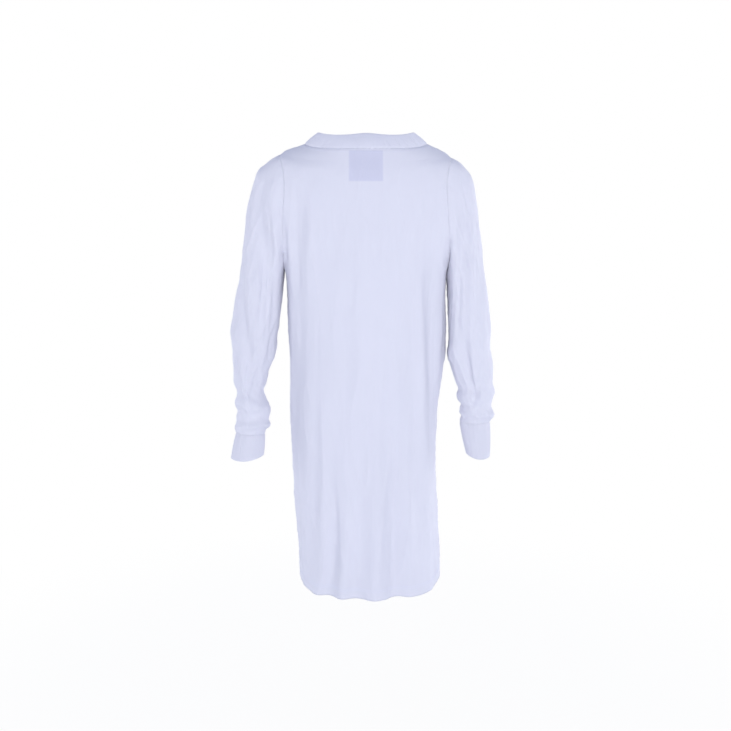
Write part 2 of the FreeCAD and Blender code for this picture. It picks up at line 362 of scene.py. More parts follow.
# A fold lies on the back, the front or one sleeve. It has points x z down its length, a half width and a
# height, which is below 0 for a crease that goes in.
FOLDS = [
    ("back", [(-0.144, -0.10), (-0.146, -0.20), (-0.142, -0.33)], 0.010, -0.0049),
    ("back", [(-0.121, -0.12), (-0.120, -0.22), (-0.124, -0.36)], 0.012, 0.0049),
    ("back", [(-0.165, -0.17), (-0.158, -0.28), (-0.150, -0.46)], 0.011, 0.0043),
    ("back", [(0.138, -0.20), (0.146, -0.30), (0.150, -0.48), (0.158, -0.70)], 0.013, -0.0061),
    ("back", [(0.118, -0.24), (0.124, -0.38), (0.128, -0.62)], 0.016, 0.0055),
    ("back", [(-0.083, -0.66), (-0.070, -0.84), (-0.090, -1.01)], 0.012, -0.0072),
    ("back", [(-0.104, -0.62), (-0.098, -0.82), (-0.118, -1.01)], 0.015, 0.0075),
    ("back", [(-0.050, -0.78), (-0.036, -0.92), (-0.040, -1.01)], 0.013, 0.0064),
    ("back", [(0.020, -0.62), (0.030, -0.80), (0.018, -1.01)], 0.020, 0.0055),
    ("back", [(0.062, -0.55), (0.070, -0.78), (0.066, -1.01)], 0.016, -0.0058),
    ("back", [(0.098, -0.70), (0.108, -0.86), (0.112, -1.01)], 0.015, 0.0072),
    ("back", [(-0.010, -0.25), (-0.020, -0.42), (-0.012, -0.60)], 0.026, 0.0032),
    ("back", [(0.060, -0.10), (0.085, -0.22), (0.096, -0.36)], 0.020, -0.0035),
    ("back", [(-0.052, -0.13), (-0.074, -0.24), (-0.082, -0.42)], 0.020, -0.0035),
    ("back", [(-0.02, -0.44), (-0.05, -0.56), (-0.062, -0.70)], 0.018, -0.0038),
    ("front", [(-0.120, -0.14), (-0.128, -0.28), (-0.122, -0.46)], 0.014, 0.0061),
    ("front", [(0.116, -0.13), (0.126, -0.30), (0.130, -0.50)], 0.014, 0.0061),
    ("front", [(-0.060, -0.30), (-0.066, -0.60), (-0.078, -1.01)], 0.020, -0.0072),
    ("front", [(-0.100, -0.52), (-0.106, -0.76), (-0.110, -1.01)], 0.017, 0.0081),
    ("front", [(0.030, -0.48), (0.036, -0.74), (0.028, -1.01)], 0.022, 0.0072),
    ("front", [(0.074, -0.42), (0.082, -0.70), (0.090, -1.01)], 0.017, -0.0072),
    ("front", [(0.118, -0.60), (0.126, -0.80), (0.130, -1.01)], 0.015, 0.0075),
    ("front", [(-0.018, -0.66), (-0.022, -0.84), (-0.016, -1.01)], 0.016, -0.0058),
    ("left", [(-0.215, -0.050), (-0.236, -0.13), (-0.226, -0.22), (-0.203, -0.31)], 0.012, -0.0084),
    ("left", [(-0.232, -0.060), (-0.254, -0.15), (-0.250, -0.25), (-0.232, -0.35)], 0.013, 0.0076),
    ("left", [(-0.198, -0.060), (-0.204, -0.13), (-0.192, -0.25)], 0.010, 0.0072),
    ("left", [(-0.279, -0.28), (-0.272, -0.38), (-0.250, -0.50)], 0.012, -0.0090),
    ("left", [(-0.262, -0.24), (-0.250, -0.36), (-0.226, -0.45)], 0.013, 0.0084),
    ("left", [(-0.292, -0.42), (-0.276, -0.52), (-0.262, -0.63)], 0.012, 0.0080),
    ("left", [(-0.240, -0.50), (-0.256, -0.57), (-0.270, -0.65)], 0.010, -0.0072),
    ("left", [(-0.302, -0.54), (-0.290, -0.60), (-0.284, -0.65)], 0.008, -0.0061),
    ("right", [(0.206, -0.050), (0.222, -0.14), (0.214, -0.26), (0.200, -0.34)], 0.012, -0.0064),
    ("right", [(0.226, -0.080), (0.240, -0.18), (0.236, -0.30)], 0.013, 0.0058),
    ("right", [(0.262, -0.26), (0.252, -0.36), (0.224, -0.46)], 0.013, -0.0070),
    ("right", [(0.272, -0.34), (0.262, -0.44), (0.236, -0.54)], 0.012, 0.0064),
    ("right", [(0.206, -0.40), (0.222, -0.48), (0.246, -0.56)], 0.011, -0.0058),
    ("right", [(0.284, -0.46), (0.272, -0.54), (0.256, -0.61)], 0.011, 0.0058),
    ("right", [(0.236, -0.52), (0.250, -0.57), (0.262, -0.61)], 0.009, -0.0052),
]

# The elbow and the cuff gather each sleeve in rings: height of the middle, tilt, reach, half width, height
GATHERS = {
    "left": [(-0.440, 0.55, 0.030, 0.0040), (-0.585, 0.20, 0.022, 0.0044), (-0.632, -0.10, 0.012, 0.0052)],
    "right": [(-0.430, 0.50, 0.028, 0.0036), (-0.560, 0.15, 0.020, 0.0040), (-0.604, -0.10, 0.011, 0.0050)],
}


def fold_heights(points, fold):
    """How far one fold moves each point along its normal."""
    place, line, width, height = fold
    x, y, z = points.T
    if place == "back":
        near = (y < 0.0) & (np.abs(x) < 0.20)
    elif place == "front":
        near = (y > 0.0) & (np.abs(x) < 0.20)
    else:
        near = x * SIDES[place] > 0.183
    line = np.array(line, float)
    run = (line[0, 1] - z) / (line[0, 1] - line[-1, 1])
    centre = np.interp(-z, -line[:, 1], line[:, 0])
    across = (x - centre) / width
    fade = smooth_step(-0.10, 0.22, run) * (1 - smooth_step(0.80, 1.10, run))
    if place in ("back", "front") and line[-1, 1] < HEM_Z:
        fade = smooth_step(-0.10, 0.45, run) * (1 - 0.75 * smooth_step(0.90, 1.0, -z))
    return np.where(near, height * fade * np.exp(-np.abs(across) ** 1.5), 0.0)


def waves(points):
    """Soft waves that grow towards the hem, and a gentle unevenness elsewhere."""
    x, y, z = points.T
    around = np.arctan2(x, -y)
    low = smooth_step(0.45, 1.0, -z) * (np.abs(x) < 0.22)
    low *= 1 - 0.6 * smooth_step(0.90, 1.0, -z)
    broad, narrow = np.sin(9 * around + 1.3 + 1.8 * z), np.sin(16 * around - 2.1 * z)
    skirt = low * (0.0024 * broad + 0.0008 * narrow)
    uneven = 0.0009 * np.sin(31 * x + 14 * z + 1.0) * np.sin(17 * z - 11 * x + 9 * y)
    return skirt + uneven


def gather_heights(points, side):
    """Shallow rings where a sleeve slips down and rests on the elbow and the cuff."""
    x, _, z = points.T
    out = x * SIDES[side]
    total = np.zeros(len(points))
    for middle, tilt, width, height in GATHERS[side]:
        away = z - middle - tilt * (out - 0.25)
        total += height * np.cos(away / width * 1.9) * np.exp(-(away / width / 1.4) ** 2)
    return np.where(out > 0.186, total, 0.0)


# ---------------------------------------------------------------- the whole cloth

laid = {}


def join_grids(grids):
    """One mesh object from the four grids, with each part's material number, joined at every seam."""
    mesh = bpy.data.meshes.new("gown_cloth")
    whole = bmesh.new()
    for number, points in enumerate(grids.values()):
        bm = grid_of(points)
        for face in bm.faces:
            face.material_index = number
            face.smooth = True
        bm.to_mesh(mesh)
        bm.free()
        whole.from_mesh(mesh)
    bmesh.ops.remove_doubles(whole, verts=whole.verts, dist=1e-5)
    bmesh.ops.recalc_face_normals(whole, faces=whole.faces)
    whole.normal_update()
    if sum(v.normal.x * v.co.x + v.normal.y * v.co.y for v in whole.verts if abs(v.co.x) < 0.2) < 0:
        bmesh.ops.reverse_faces(whole, faces=whole.faces)
    whole.to_mesh(mesh)
    whole.free()
    cloth = bpy.data.objects.new("gown_cloth", mesh)
    bpy.context.scene.collection.objects.link(cloth)
    for name in grids:
        mesh.materials.append(bpy.data.materials.new(name + "_part"))
    return cloth


def grid_numbers(cloth, grids):
    """The vertex number of every grid point in the joined cloth."""
    tree = KDTree(len(cloth.data.vertices))
    for vert in cloth.data.vertices:
        tree.insert(vert.co, vert.index)
    tree.balance()
    return {name: np.array([[tree.find(p)[1] for p in line] for line in points])
            for name, points in grids.items()}


def normals_of(mesh):
    """The vertex normals of a mesh as an array."""
    flat = np.empty(len(mesh.vertices) * 3)
    mesh.vertices.foreach_get("normal", flat)
    return flat.reshape(-1, 3)


def put(mesh, points):
    """Moves every vertex of a mesh."""
    mesh.vertices.foreach_set("co", np.asarray(points, float).ravel())
    mesh.update()


def sag_hem(points):
    """The hem hangs lowest at the middle of the back."""
    x, y, z = points[..., 0], points[..., 1], points[..., 2]
    back = smooth_step(-0.02, 0.09, -y)
    points[..., 2] += (0.020 - 0.019 * back) * smooth_step(0.80, 1.007, -z)
    return points


def lift_left_shoulder(points):
    """The left shoulder sits a little higher than the right one."""
    x, z = points[..., 0], points[..., 2]
    lift = 0.010 * smooth_step(0.13, 0.20, -x) + 0.003 * smooth_step(0.13, 0.20, x)
    points[..., 2] += lift * (1 - smooth_step(0.03, 0.22, -z))
    return points


def body_stand(cloth):
    """A copy of the cloth drawn in, which stands for the body that it hangs on."""
    stand = cloth.copy()
    stand.data = cloth.data.copy()
    stand.name = "body_stand"
    bpy.context.scene.collection.objects.link(stand)
    points = positions(stand.data)
    low = -points[:, 2]
    room = 0.002 + 0.003 * smooth_step(0.06, 0.16, low) + 0.018 * smooth_step(0.2, 0.9, low)
    room = np.where(np.abs(points[:, 0]) > 0.2, 0.002 + 0.006 * smooth_step(0.08, 0.2, low), room)
    put(stand.data, points - normals_of(stand.data) * room[:, None])
    stand.modifiers.new("Collision", "COLLISION")
    stand.collision.thickness_outer = 0.001
    stand.collision.cloth_friction = 8
    return stand


def drape(cloth, held):
    """Lets the cloth settle on the stand, and applies what it becomes."""
    scene = bpy.context.scene
    start = positions(cloth.data)
    stand = body_stand(cloth)
    group = cloth.vertex_groups.new(name="held")
    for number, weight in held.items():
        group.add([number], weight, "REPLACE")
    cloth_modifier = cloth.modifiers.new("Cloth", "CLOTH")
    settings = cloth_modifier.settings
    settings.quality = 5
    settings.mass = 0.12
    settings.tension_stiffness = settings.compression_stiffness = 12
    settings.shear_stiffness = 6
    settings.bending_stiffness = 0.25
    settings.air_damping = 2
    settings.vertex_group_mass = "held"
    settings.shrink_min = -0.02
    settings.effector_weights.gravity = 0.35
    cloth_modifier.collision_settings.distance_min = 0.0015
    cloth_modifier.collision_settings.use_self_collision = False
    cloth_modifier.point_cache.frame_start = 1
    cloth_modifier.point_cache.frame_end = sizes().frames
    for number in range(1, sizes().frames + 1):
        scene.frame_set(number)
    apply_modifiers(cloth)
    scene.frame_set(1)
    bpy.data.objects.remove(stand)
    moved = (positions(cloth.data) - start) * np.array([1, 1, 0.35])
    moved *= 0.10 + 0.90 * smooth_step(0.05, 0.18, -start[:, 2:3])
    far = np.linalg.norm(moved, axis=1, keepdims=True)
    put(cloth.data, start + moved * np.minimum(1, sizes().travel / np.maximum(far, 1e-9)))


def soften(cloth, rounds, share, chosen=lambda place: True):
    """Smooths the cloth at the chosen places, and leaves its edges."""
    bm = bmesh.new()
    bm.from_mesh(cloth.data)
    inner = [vert for vert in bm.verts if not vert.is_boundary and chosen(vert.co)]
    for _ in range(rounds):
        bmesh.ops.smooth_vert(bm, verts=inner, factor=share, use_axis_x=True, use_axis_y=True,
                              use_axis_z=True)
    bm.to_mesh(cloth.data)
    bm.free()


def at_shoulder_tip(place):
    """Whether a place lies where a sleeve meets the panels at the top."""
    return 0.135 < abs(place.x) < 0.232 and place.z > -0.085


def resample(points, step, closed=False):
    """A smooth line of evenly spaced points through the given ones."""
    points = np.asarray(points, float)
    if closed:
        points = np.vstack([points[-3:], points, points[:4]])
    lengths = np.r_[0, np.cumsum(np.linalg.norm(np.diff(points, axis=0), axis=1))]
    first, last = (lengths[3], lengths[-4]) if closed else (0.0, lengths[-1])
    count = max(2, round((last - first) / step))
    at = np.linspace(first, last, count + 1)
    if closed:
        at = at[:-1]
    slopes = np.gradient(points, lengths, axis=0)
    i = np.clip(np.searchsorted(lengths, at) - 1, 0, len(lengths) - 2)
    span = (lengths[i + 1] - lengths[i])[:, None]
    t = (at[:, None] - lengths[i][:, None]) / span
    return ((1 + 2 * t) * (1 - t) ** 2 * points[i] + t * (1 - t) ** 2 * span * slopes[i]
            + t * t * (3 - 2 * t) * points[i + 1] + t * t * (t - 1) * span * slopes[i + 1])


def seam_numbers(numbers):
    """Each seam's vertex numbers, from top to bottom or once round."""
    back, front = numbers["back_panel"], numbers["front_panel"]
    armhole_end = SHOULDER_ROWS + ARMHOLE_ROWS
    seams = {"neckline": np.r_[back[:, 0], front[1:-1, 0][::-1]]}
    for side in SIDES:
        column = COLUMNS if side == "right" else 0
        sleeve = numbers[side + "_sleeve"]
        seams[side + "_shoulder"] = back[column, :SHOULDER_ROWS + 1]
        seams[side + "_side"] = back[column, armhole_end:]
        seams[side + "_armhole"] = sleeve[:-1, 0]
        seams[side + "_underarm"] = sleeve[(sleeve.shape[0] - 1) // 2]
        seams[side + "_cuff"] = sleeve[:-1, -1]
    return seams


def crease(mesh):
    """Adds the fine, mostly upright creases of worn jersey, stronger low down and along the sleeves."""
    points, normals = positions(mesh), normals_of(mesh)
    shift = np.zeros(len(points))
    for k, (x, y, z) in enumerate(points):
        out = abs(x) - 0.186
        if out > 0 and z < -0.03:
            lean = x + math.copysign(0.30, x) * (z + 0.3)
            down = z - math.copysign(0.30, x) * x
            strong = 0.4 + 0.4 * min(1.0, out / 0.02)
        else:
            lean, down = x, z
            strong = 0.45 + 0.55 * min(1.0, max(0.0, -0.5 - z) / 0.3)
        broad = noise.noise((lean * 30, y * 30, down * 5))
        fine = noise.noise((lean * 75 + 7, y * 75, down * 13))
        ridge = (1 - min(1.0, abs(broad) * 3.2)) ** 2
        small = (1 - min(1.0, abs(fine) * 3.6)) ** 2
        high = min(1.0, max(0.0, (-z - 0.02) / 0.06)) * min(1.0, max(0.3, (1.0 + z) / 0.05))
        shift[k] = strong * high * (0.0026 * ridge + 0.0011 * small - 0.0015)
    put(mesh, points + normals * shift[:, None])


def shape_seams(mesh, seams):
    """Presses a narrow groove at each seam, with the small puckers that the stitches pull beside it."""
    points, normals = positions(mesh), normals_of(mesh)
    closed = ("neckline", "armhole", "cuff")
    samples = [(p, k * 0.0015, 0.0001 if "armhole" in name else 0.0008) for name in seams
               for k, p in enumerate(resample(points[seams[name]], 0.0015, name.split("_")[-1] in closed))]
    tree = KDTree(len(samples))
    for number, sample in enumerate(samples):
        tree.insert(sample[0], number)
    tree.balance()
    shift = np.zeros(len(points))
    for k, point in enumerate(points):
        _, number, away = tree.find(point)
        if away < 0.030:
            _, run, deep = samples[number]
            groove = -deep * math.exp(-(away / 0.0026) ** 2)
            groove += 0.5 * deep * math.exp(-((away - 0.0075) / 0.004) ** 2)
            pucker = math.sin(run * 2 * math.pi / 0.021) + 0.6 * math.sin(run * 470 + 1)
            shift[k] = groove + 0.00035 * pucker * math.exp(-(away / 0.010) ** 2)
    put(mesh, points + normals * shift[:, None])


class GOWN_OT_cloth(bpy.types.Operator):
    """Cut the panels and sleeves, join them, fold them and let them settle"""
    bl_idname = "gown.cloth"
    bl_label = "Lay the Cloth"

    def execute(self, context):
        back, front = panel_points(False), panel_points(True)
        grids = {"back_panel": back, "front_panel": front}
        for side in SIDES:
            tube = sleeve_points(side, armhole_loop(back, front, side))
            grids[side + "_sleeve"] = np.vstack([tube, tube[:1]])
        for points in grids.values():
            lift_left_shoulder(points)
            sag_hem(points)
        cloth = join_grids(grids)
        numbers = grid_numbers(cloth, grids)
        seams = seam_numbers(numbers)
        points, normals = positions(cloth.data), normals_of(cloth.data)
        heights = waves(points)
        for fold in FOLDS:
            heights += fold_heights(points, fold)
        for side in SIDES:
            heights += gather_heights(points, side)
        ends = np.r_[seams["neckline"], seams["right_cuff"], seams["left_cuff"]]
        heights[ends] = 0
        put(cloth.data, points + normals * heights[:, None])
        held = {int(n): 1.0 for n in ends}
        for side in SIDES:
            held.update({int(n): 0.4 for n in seams[side + "_shoulder"]})
            held.update({int(n): 0.5 for n in numbers[side + "_sleeve"][:, -2:].ravel()})
        drape(cloth, held)
        soften(cloth, 1, 0.4)
        soften(cloth, 14, 0.5, at_shoulder_tip)
        finer = cloth.modifiers.new("Finer", "SUBSURF")
        finer.levels = finer.render_levels = 1
        apply_modifiers(cloth)
        crease(cloth.data)
        shape_seams(cloth.data, seams)
        points = positions(cloth.data)
        laid.update(cloth=cloth, numbers=numbers,
                    lines={name: points[line] for name, line in seams.items()})
        back_hem, front_hem = numbers["back_panel"][:, -1], numbers["front_panel"][1:-1, -1][::-1]
        laid["lines"]["hem"] = points[np.r_[back_hem, front_hem]]
        bm = bmesh.new()
        bm.from_mesh(cloth.data)
        laid["surface"] = BVHTree.FromBMesh(bm)
        bm.free()
        return {"FINISHED"}


# ---------------------------------------------------------------- materials

def group(name, inputs, outputs):
    """A new shader node group with named inputs (name, type, default) and outputs (name, type)."""
    tree = bpy.data.node_groups.new(name, "ShaderNodeTree")
    for label, kind, value in inputs:
        socket = tree.interface.new_socket(name=label, in_out="INPUT", socket_type=kind)
        if value is not None:
            socket.default_value = value
    for label, kind in outputs:
        tree.interface.new_socket(name=label, in_out="OUTPUT", socket_type=kind)
    return tree


def node(tree, kind, **settings):
    """A node with its settings."""
    made = tree.nodes.new(kind)
    for name, value in settings.items():
        setattr(made, name, value)
    return made


def math_node(tree, operation, a, b=None):
    """A Math node on two sockets or numbers, and its output."""
    made = node(tree, "ShaderNodeMath", operation=operation)
    for k, value in enumerate((a, b)):
        if isinstance(value, (int, float)):
            made.inputs[k].default_value = value
        elif value is not None:
            tree.links.new(value, made.inputs[k])
    return made.outputs[0]


def knit_group():
    """Columns of small V-shaped stitches, as a height and as a mask of painted shade in the hollows between
    them.
    """
    if "Knit" in bpy.data.node_groups:
        return bpy.data.node_groups["Knit"]
    tree = group("Knit", [("Vector", "NodeSocketVector", None), ("Wales", "NodeSocketFloat", 400.0),
                          ("Courses", "NodeSocketFloat", 900.0)],
                 [("Height", "NodeSocketFloat"), ("Mask", "NodeSocketFloat")])
    start, end = node(tree, "NodeGroupInput"), node(tree, "NodeGroupOutput")
    parts = node(tree, "ShaderNodeSeparateXYZ")
    tree.links.new(start.outputs["Vector"], parts.inputs[0])
    across = math_node(tree, "MULTIPLY", parts.outputs["X"], start.outputs["Wales"])
    along = math_node(tree, "MULTIPLY", parts.outputs["Y"], start.outputs["Courses"])
    leg = math_node(tree, "PINGPONG", across, 0.5)
    slant = math_node(tree, "ADD", along, math_node(tree, "MULTIPLY", leg, 1.4))
    loop = math_node(tree, "SINE", math_node(tree, "MULTIPLY", slant, 2 * math.pi))
    column = math_node(tree, "SINE", math_node(tree, "MULTIPLY", leg, 2 * math.pi))
    part = math_node(tree, "ADD", math_node(tree, "MULTIPLY", loop, 0.35), 0.65)
    height = math_node(tree, "MULTIPLY", column, part)
    tree.links.new(height, end.inputs["Height"])
    # The mask is painted shade: it is highest in the hollows between the stitches.
    low = math_node(tree, "SUBTRACT", 1.0, height)
    tree.links.new(math_node(tree, "MULTIPLY", low, 0.5), end.inputs["Mask"])
    return tree


def softness_group():
    """Slight unevenness of a washed cloth: broad tone and the small slubs of the yarn."""
    if "Washed Cloth" in bpy.data.node_groups:
        return bpy.data.node_groups["Washed Cloth"]
    tree = group("Washed Cloth", [("Vector", "NodeSocketVector", None), ("Broad", "NodeSocketFloat", 5.0),
                                  ("Fine", "NodeSocketFloat", 160.0)],
                 [("Tone", "NodeSocketFloat"), ("Slubs", "NodeSocketFloat")])
    start, end = node(tree, "NodeGroupInput"), node(tree, "NodeGroupOutput")
    for scale, out, detail in (("Broad", "Tone", 3.0), ("Fine", "Slubs", 2.0)):
        cloud = node(tree, "ShaderNodeTexNoise")
        set_inputs(cloud, Detail=detail, Roughness=0.55)
        tree.links.new(start.outputs["Vector"], cloud.inputs["Vector"])
        tree.links.new(start.outputs[scale], cloud.inputs["Scale"])
        tree.links.new(cloud.outputs[0], end.inputs[out])
    return tree


def patch_group():
    """A soft-edged rectangle in x and z, such as the painted shade where a label behind the cloth blocks
    light.
    """
    if "Patch" in bpy.data.node_groups:
        return bpy.data.node_groups["Patch"]
    inputs = [("Vector", "NodeSocketVector", None), ("Middle X", "NodeSocketFloat", 0.0),
              ("Middle Z", "NodeSocketFloat", 0.0), ("Half Width", "NodeSocketFloat", 0.04),
              ("Half Height", "NodeSocketFloat", 0.03), ("Edge", "NodeSocketFloat", 0.002)]
    tree = group("Patch", inputs, [("Mask", "NodeSocketFloat")])
    start, end = node(tree, "NodeGroupInput"), node(tree, "NodeGroupOutput")
    parts = node(tree, "ShaderNodeSeparateXYZ")
    tree.links.new(start.outputs["Vector"], parts.inputs[0])
    masks = []
    for axis, middle, half in (("X", "Middle X", "Half Width"), ("Z", "Middle Z", "Half Height")):
        offset = math_node(tree, "SUBTRACT", parts.outputs[axis], start.outputs[middle])
        away = math_node(tree, "ABSOLUTE", offset)
        inside = math_node(tree, "SUBTRACT", start.outputs[half], away)
        share = math_node(tree, "DIVIDE", inside, start.outputs["Edge"])
        edge = node(tree, "ShaderNodeClamp")
        tree.links.new(math_node(tree, "ADD", share, 0.5), edge.inputs[0])
        masks.append(edge.outputs[0])
    tree.links.new(math_node(tree, "MULTIPLY", *masks), end.inputs["Mask"])
    return tree


def mix_colours(tree, share, a, b):
    """A colour mix, and its output."""
    mix = node(tree, "ShaderNodeMix", data_type="RGBA")
    tree.links.new(share, mix.inputs[0])
    for socket, value in ((mix.inputs[6], a), (mix.inputs[7], b)):
        if isinstance(value, bpy.types.NodeSocket):
            tree.links.new(value, socket)
        else:
            socket.default_value = (*value, 1.0)
    return mix.outputs[2]


def seen_directly(tree):
    """1 for the rays that show the background itself: camera, glossy and transmission rays."""
    rays = node(tree, "ShaderNodeLightPath")
    glossy = math_node(tree, "MAXIMUM", rays.outputs["Is Glossy Ray"], rays.outputs["Is Transmission Ray"])
    return math_node(tree, "MAXIMUM", rays.outputs["Is Camera Ray"], glossy)


def bump_node(tree, height, strength, distance):
    """A bump of a height, and its normal."""
    bumps = node(tree, "ShaderNodeBump")
    bumps.inputs["Strength"].default_value = strength
    bumps.inputs["Distance"].default_value = distance
    tree.links.new(height, bumps.inputs["Height"])
    return bumps.outputs[0]


def set_inputs(made, **values):
    """Sets a node's inputs by name, with _ for a space."""
    for label, value in values.items():
        made.inputs[label.replace("_", " ")].default_value = value


def shade(colour, by):
    """A colour made lighter or darker."""
    return tuple(min(1.0, c * by) for c in colour)


def cloth_material(name, colour, wales, courses, bump, patches=(), roughness=0.9):
    """Knitted or woven cloth, with painted shade in the hollows between its stitches. patches are (middle
    x, middle z, half width, half height, edge, colour) of painted shade laid over it, such as where a label
    behind the cloth blocks light.
    """
    if name in bpy.data.materials:
        return bpy.data.materials[name]
    material = bpy.data.materials.new(name)
    material.use_nodes = True
    tree = material.node_tree
    shader = tree.nodes["Principled BSDF"]
    set_inputs(shader, Roughness=roughness, Specular_IOR_Level=0.18, Sheen_Weight=0.06, Sheen_Roughness=0.4)
    place = node(tree, "ShaderNodeTexCoord")
    knit = node(tree, "ShaderNodeGroup", node_tree=knit_group())
    tree.links.new(place.outputs["UV"], knit.inputs["Vector"])
    set_inputs(knit, Wales=wales, Courses=courses)
    washed = node(tree, "ShaderNodeGroup", node_tree=softness_group())
    tree.links.new(place.outputs["Object"], washed.inputs["Vector"])
    base = mix_colours(tree, washed.outputs["Tone"], shade(colour, 0.972), shade(colour, 1.026))
    # Painted shade: the hollows between the knit stitches are darkened in the colour.
    knit_hollow_shade = math_node(tree, "MULTIPLY", knit.outputs["Mask"], 0.10)
    base = mix_colours(tree, knit_hollow_shade, base, shade(colour, 0.80))
    for x, z, half_width, half_height, edge, tint in patches:
        patch = node(tree, "ShaderNodeGroup", node_tree=patch_group())
        tree.links.new(place.outputs["Object"], patch.inputs["Vector"])
        set_inputs(patch, Middle_X=x, Middle_Z=z, Half_Width=half_width, Half_Height=half_height, Edge=edge)
        base = mix_colours(tree, patch.outputs["Mask"], base, tint)
    tree.links.new(base, shader.inputs["Base Color"])
    slubs = math_node(tree, "MULTIPLY", washed.outputs["Slubs"], 0.7)
    height = math_node(tree, "ADD", knit.outputs["Height"], slubs)
    tree.links.new(bump_node(tree, height, bump, 0.0003), shader.inputs["Normal"])
    return material


def thread_material():
    """Twisted sewing thread."""
    if "Thread" in bpy.data.materials:
        return bpy.data.materials["Thread"]
    material = bpy.data.materials.new("Thread")
    material.use_nodes = True
    tree = material.node_tree
    shader = tree.nodes["Principled BSDF"]
    set_inputs(shader, Roughness=0.6, Specular_IOR_Level=0.3, Sheen_Weight=0.1)
    place = node(tree, "ShaderNodeTexCoord")
    twist = node(tree, "ShaderNodeTexWave", wave_type="BANDS", bands_direction="DIAGONAL")
    set_inputs(twist, Scale=900, Distortion=1.5)
    tree.links.new(place.outputs["Object"], twist.inputs["Vector"])
    colour = tuple(colours().thread)
    tree.links.new(mix_colours(tree, twist.outputs["Fac"], shade(colour, 0.90), shade(colour, 1.04)),
                   shader.inputs["Base Color"])
    tree.links.new(bump_node(tree, twist.outputs["Fac"], 0.4, 0.0001), shader.inputs["Normal"])
    return material


# ---------------------------------------------------------------- pieces of the cloth

LABEL_X = 0.001
LABEL_TOP = -0.019
LABEL_HALF = 0.0365
LABEL_HEIGHT = 0.066
LABEL_INSET = 0.0022
BACK_Y = -0.11


def cut_out(name, number, material):
    """One part of the laid cloth as a piece of its own, with its thickness."""
    bm = bmesh.new()
    bm.from_mesh(laid["cloth"].data)
    others = [face for face in bm.faces if face.material_index != number]
    bmesh.ops.delete(bm, geom=others, context="FACES")
    for face in bm.faces:
        face.material_index = 0
    piece = new_object(name + "_cloth", bm, material)
    wall(piece, sizes().cloth)
    return piece


def finish_piece(piece, node_name, body=None):
    """Hides the CAD node that a piece stands for, and hangs the piece on the body that it rides on, if one
    is given.
    """
    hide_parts(node_name)
    if body:
        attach(piece, body)
    return piece


def swing(piece):
    """Moves a sleeve piece's transform into its mesh."""
    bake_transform(piece)


class GOWN_OT_panels(bpy.types.Operator):
    """Part the back and front panels from the laid cloth"""
    bl_idname = "gown.panels"
    bl_label = "Back and Front Panels"

    def execute(self, context):
        jersey, label_shade_tint = tuple(colours().jersey), tuple(colours().painted_label_shade)
        label_z = LABEL_TOP - LABEL_HEIGHT / 2
        # Painted shade over the label behind the back cloth: a darker rectangle, a little darker again
        # towards its middle.
        patches = [(LABEL_X, label_z, LABEL_HALF, LABEL_HEIGHT / 2, 0.0035, label_shade_tint),
                   (LABEL_X, label_z - 0.003, LABEL_HALF - 0.007, LABEL_HEIGHT / 2 - 0.009, 0.006,
                    shade(label_shade_tint, 0.985))]
        back = cut_out("back_panel", 0, cloth_material("Back Jersey", jersey, 460, 1150, 0.25, patches))
        front = cut_out("front_panel", 1, cloth_material("Front Jersey", jersey, 460, 1150, 0.25))
        for piece, name in ((back, "back_panel"), (front, "front_panel")):
            finish_piece(piece, name, "torso")
        return {"FINISHED"}


class GOWN_OT_sleeves(bpy.types.Operator):
    """Part the sleeves from the laid cloth"""
    bl_idname = "gown.sleeves"
    bl_label = "Sleeves"

    def execute(self, context):
        material = cloth_material("Sleeve Jersey", tuple(colours().jersey), 390, 700, 0.25)
        for number, side in ((2, "right"), (3, "left")):
            piece = cut_out(side + "_sleeve", number, material)
            finish_piece(piece, side + "_sleeve")
            swing(piece)
        bpy.data.objects.remove(laid["cloth"])
        return {"FINISHED"}


# ---------------------------------------------------------------- ribbed band and cuffs

def rib_piece(name, base, top, material, ribs, rise=8):
    """A folded double rib between two closed loops of equally many points, base and top."""
    count, depth, layer = len(base), sizes().rib_depth, 0.0009
    up = top - base
    high = np.linalg.norm(up, axis=1, keepdims=True)
    up_unit = up / high
    middle = (base + top) / 2
    tangent = np.roll(middle, -1, axis=0) - np.roll(middle, 1, axis=0)
    outward_way = np.cross(tangent, up_unit)
    outward_way /= np.linalg.norm(outward_way, axis=1, keepdims=True)
    if (outward_way * (middle - middle.mean(axis=0))).sum() < 0:
        outward_way = -outward_way
    phase = np.arange(count) * 2 * math.pi * ribs / count
    rib = depth * (1 - np.abs(np.sin(phase / 2)) ** 3)
    rows = [(-0.07, 0.0, -1.1), (-0.01, 0.0, -0.1), (0.035, 0.0, 0.75)]
    rows += [(v, 0.0, 1.0) for v in np.linspace(0.09, 1, rise)]
    rows += [(1.0, turn, 1.0) for turn in np.linspace(0, math.pi, 5)[1:-1]]
    rows += [(v, math.pi, 1.0) for v in np.linspace(1, -0.05, rise)]
    points = np.zeros((count + 1, len(rows), 3))
    for j, (v, turn, full) in enumerate(rows):
        way = outward_way * math.cos(turn) + up_unit * math.sin(turn)
        crown = 0.0010 * math.sin(math.pi * max(0.0, v))
        points[:-1, j] = base + up * v + way * ((layer + rib) * full)[:, None] + outward_way * crown
    points[-1] = points[0]
    bm = grid_of(points)
    bmesh.ops.remove_doubles(bm, verts=bm.verts, dist=1e-6)
    bm.normal_update()
    bm.faces.ensure_lookup_table()
    uv = bm.loops.layers.uv.active
    facing = 0.0
    for face in bm.faces:
        u, v = face.loops[0][uv].uv
        if 0.15 < v < 0.35:
            facing += face.normal.dot(Vector(outward_way[int(u * count) % count]))
    if facing < 0:
        bmesh.ops.reverse_faces(bm, faces=bm.faces)
    piece = new_object(name, bm, material)
    wall(piece, 0.0007)
    return piece


def evenly(loop, count):
    """A closed loop as exactly count evenly spaced points."""
    length = np.linalg.norm(np.roll(loop, -1, axis=0) - loop, axis=1).sum()
    made = resample(loop, length / count, closed=True)
    while len(made) > count:
        made = made[:-1]
    return made


